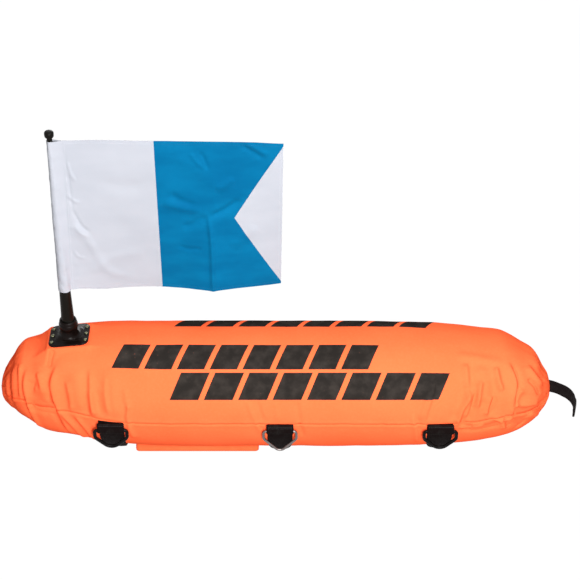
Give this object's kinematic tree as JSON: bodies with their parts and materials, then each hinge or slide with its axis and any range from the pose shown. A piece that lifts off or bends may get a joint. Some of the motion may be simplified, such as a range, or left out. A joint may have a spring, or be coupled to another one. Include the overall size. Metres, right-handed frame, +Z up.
{
  "type": "dive flag float",
  "caption": "Torpedo-shaped inflatable fabric float with an upright tapered mast, a signal flag, webbing straps, swinging rings and a belly weight.",
  "frame": {"origin": "under the middle of the overall length, on the floor that the straps and the belly pocket rest on", "axes": "+X along the float from the mast's end to the towing tail, +Y away from the viewer of the picture, +Z up along the mast"},
  "size_m": [0.8885, 0.2136, 0.5505],
  "materials": {
    "orange_cover": "coated nylon, satin",
    "black_webbing": "woven webbing, matte",
    "black_plastic": "moulded, satin",
    "steel": "smooth wire and pressings",
    "white_cloth": "thin woven polyester",
    "blue_cloth": "thin woven polyester",
    "grey_vinyl": "soft vinyl",
    "coated_weight": "plastic coated metal"
  },
  "bodies": {
    "float_body": {"ballast_pocket": "orange_cover", "ballast_weight": "coated_weight", "bladder": "grey_vinyl", "closure_hook_strip": "black_webbing", "closure_loop_strip": "black_webbing", "cover_lower": "orange_cover", "cover_upper": "orange_cover", "girth_strap_left": "black_webbing", "girth_strap_middle": "black_webbing", "girth_strap_right": "black_webbing", "mast_socket": "black_plastic", "ring_keeper_left_far": "black_webbing", "ring_keeper_left_near": "black_webbing", "ring_keeper_middle_far": "black_webbing", "ring_keeper_middle_near": "black_webbing", "ring_keeper_right_far": "black_webbing", "ring_keeper_right_near": "black_webbing", "seam_tape_far": "black_webbing", "seam_tape_near": "black_webbing", "socket_backing_plate": "black_plastic", "socket_rivet_1": "steel", "socket_rivet_2": "steel", "socket_rivet_3": "steel", "socket_rivet_4": "steel", "socket_rivet_5": "steel", "socket_rivet_6": "steel", "tow_strap": "black_webbing", "valve_body": "grey_vinyl", "valve_eyelet": "steel"},
    "mast": {"mast": "black_plastic", "mast_tip": "black_plastic"},
    "flag": {"flag_hoist_panel": "white_cloth", "flag_blue_panel": "blue_cloth", "flag_fly_panel": "white_cloth"},
    "valve_plug": {"valve_plug": "grey_vinyl"},
    "ring_left_near": {"ring_left_near": "black_plastic"},
    "ring_left_far": {"ring_left_far": "black_plastic"},
    "ring_middle_near": {"ring_middle_near": "steel"},
    "ring_middle_far": {"ring_middle_far": "steel"},
    "ring_right_near": {"ring_right_near": "black_plastic"},
    "ring_right_far": {"ring_right_far": "black_plastic"}
  },
  "joints": [
    {"name": "mast_pull", "type": "slide", "parent": "float_body", "child": "mast", "axis": [0, 0, 1], "range_m": [0, 0.035]},
    {"name": "flag_swivel", "type": "hinge", "parent": "mast", "child": "flag", "pos_m": [-0.33428, 0, 0.27368], "axis": [0, 0, 1], "continuous": true},
    {"name": "valve_plug_pull", "type": "slide", "parent": "float_body", "child": "valve_plug", "axis": [0.1646, 0.9433, 0.2882], "range_m": [0, 0.012]},
    {"name": "ring_left_near_swing", "type": "hinge", "parent": "float_body", "child": "ring_left_near", "pos_m": [-0.27048, -0.10194, 0.0917], "axis": [-1, 0, 0], "range_deg": [-10, 160]},
    {"name": "ring_left_far_swing", "type": "hinge", "parent": "float_body", "child": "ring_left_far", "pos_m": [-0.27048, 0.10194, 0.0917], "axis": [1, 0, 0], "range_deg": [-10, 160]},
    {"name": "ring_middle_near_swing", "type": "hinge", "parent": "float_body", "child": "ring_middle_near", "pos_m": [-0.01878, -0.10185, 0.0895], "axis": [-1, 0, 0], "range_deg": [-10, 160]},
    {"name": "ring_middle_far_swing", "type": "hinge", "parent": "float_body", "child": "ring_middle_far", "pos_m": [-0.01878, 0.10185, 0.0895], "axis": [1, 0, 0], "range_deg": [-10, 160]},
    {"name": "ring_right_near_swing", "type": "hinge", "parent": "float_body", "child": "ring_right_near", "pos_m": [0.21992, -0.10225, 0.0895], "axis": [-1, 0, 0], "range_deg": [-10, 160]},
    {"name": "ring_right_far_swing", "type": "hinge", "parent": "float_body", "child": "ring_right_far", "pos_m": [0.21992, 0.10225, 0.0895], "axis": [1, 0, 0], "range_deg": [-10, 160]}
  ]
}
